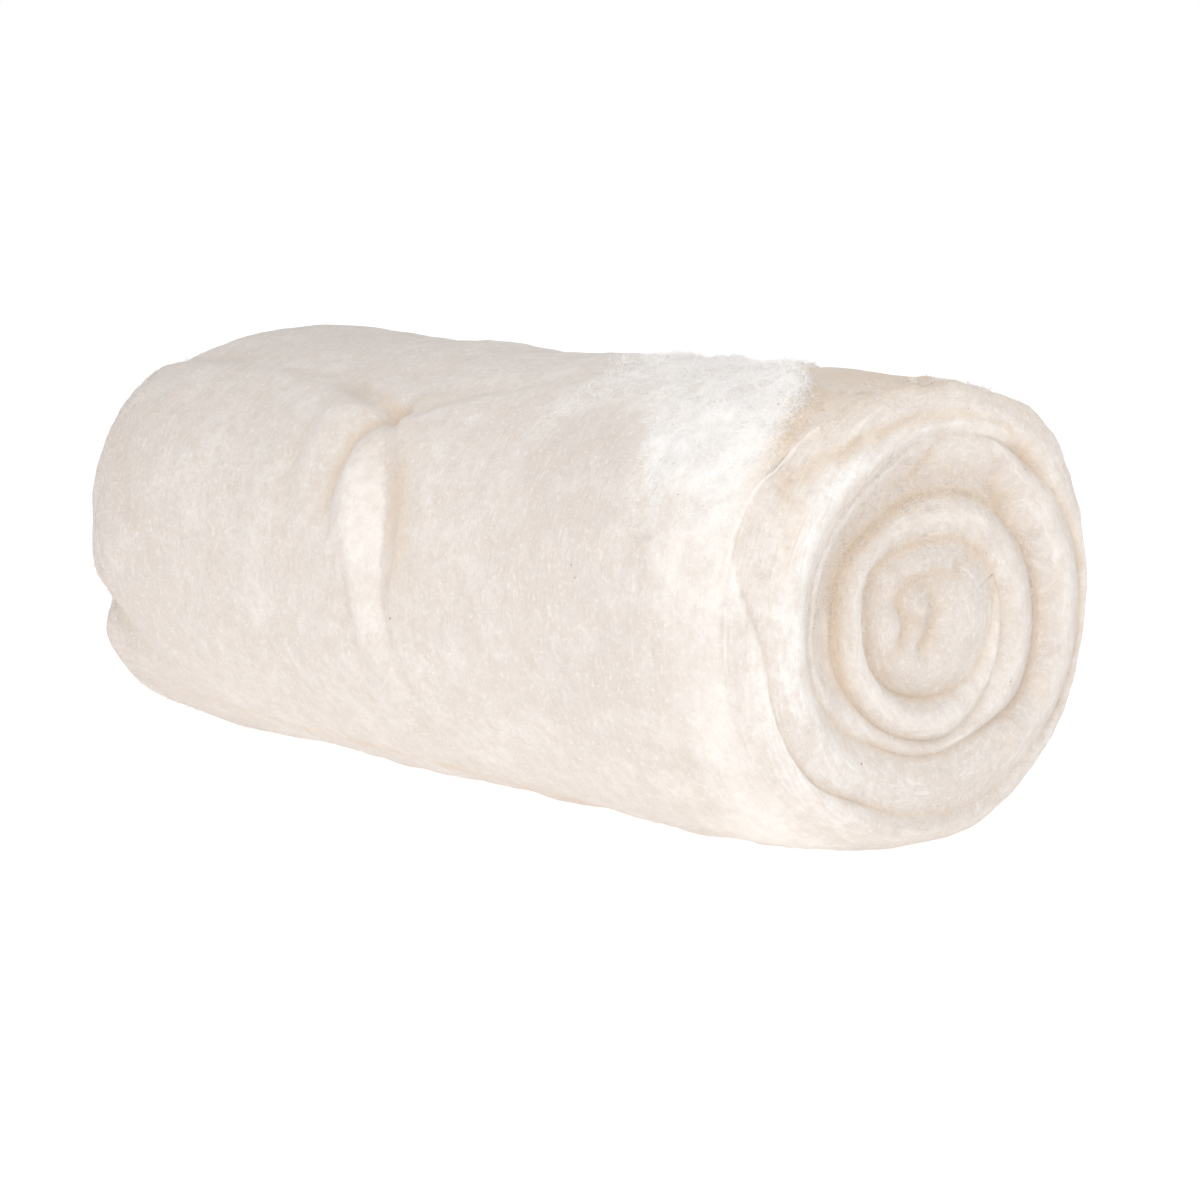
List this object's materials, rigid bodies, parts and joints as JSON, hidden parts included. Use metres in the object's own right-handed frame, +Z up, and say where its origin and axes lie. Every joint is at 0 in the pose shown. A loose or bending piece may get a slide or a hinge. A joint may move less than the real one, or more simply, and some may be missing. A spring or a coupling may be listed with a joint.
{
  "type": "absorbent cotton roll",
  "caption": "Soft roll of bleached absorbent cotton batt, lying on its pressed underside, with the spiral of its turns showing at the ends and a pinched fold across its outside.",
  "frame": {"origin": "centre of the bounding box, on the surface that the roll rests on", "axes": "+X along the roll's length, towards the end whose turns show, +Z up, -Y the front with the pinched fold"},
  "size_m": [0.3238, 0.1631, 0.1439],
  "materials": {
    "cotton": "matte bleached cotton fibre, soft matted pile, warm white"
  },
  "bodies": {
    "root": {"cotton_roll": "cotton"}
  },
  "joints": []
}
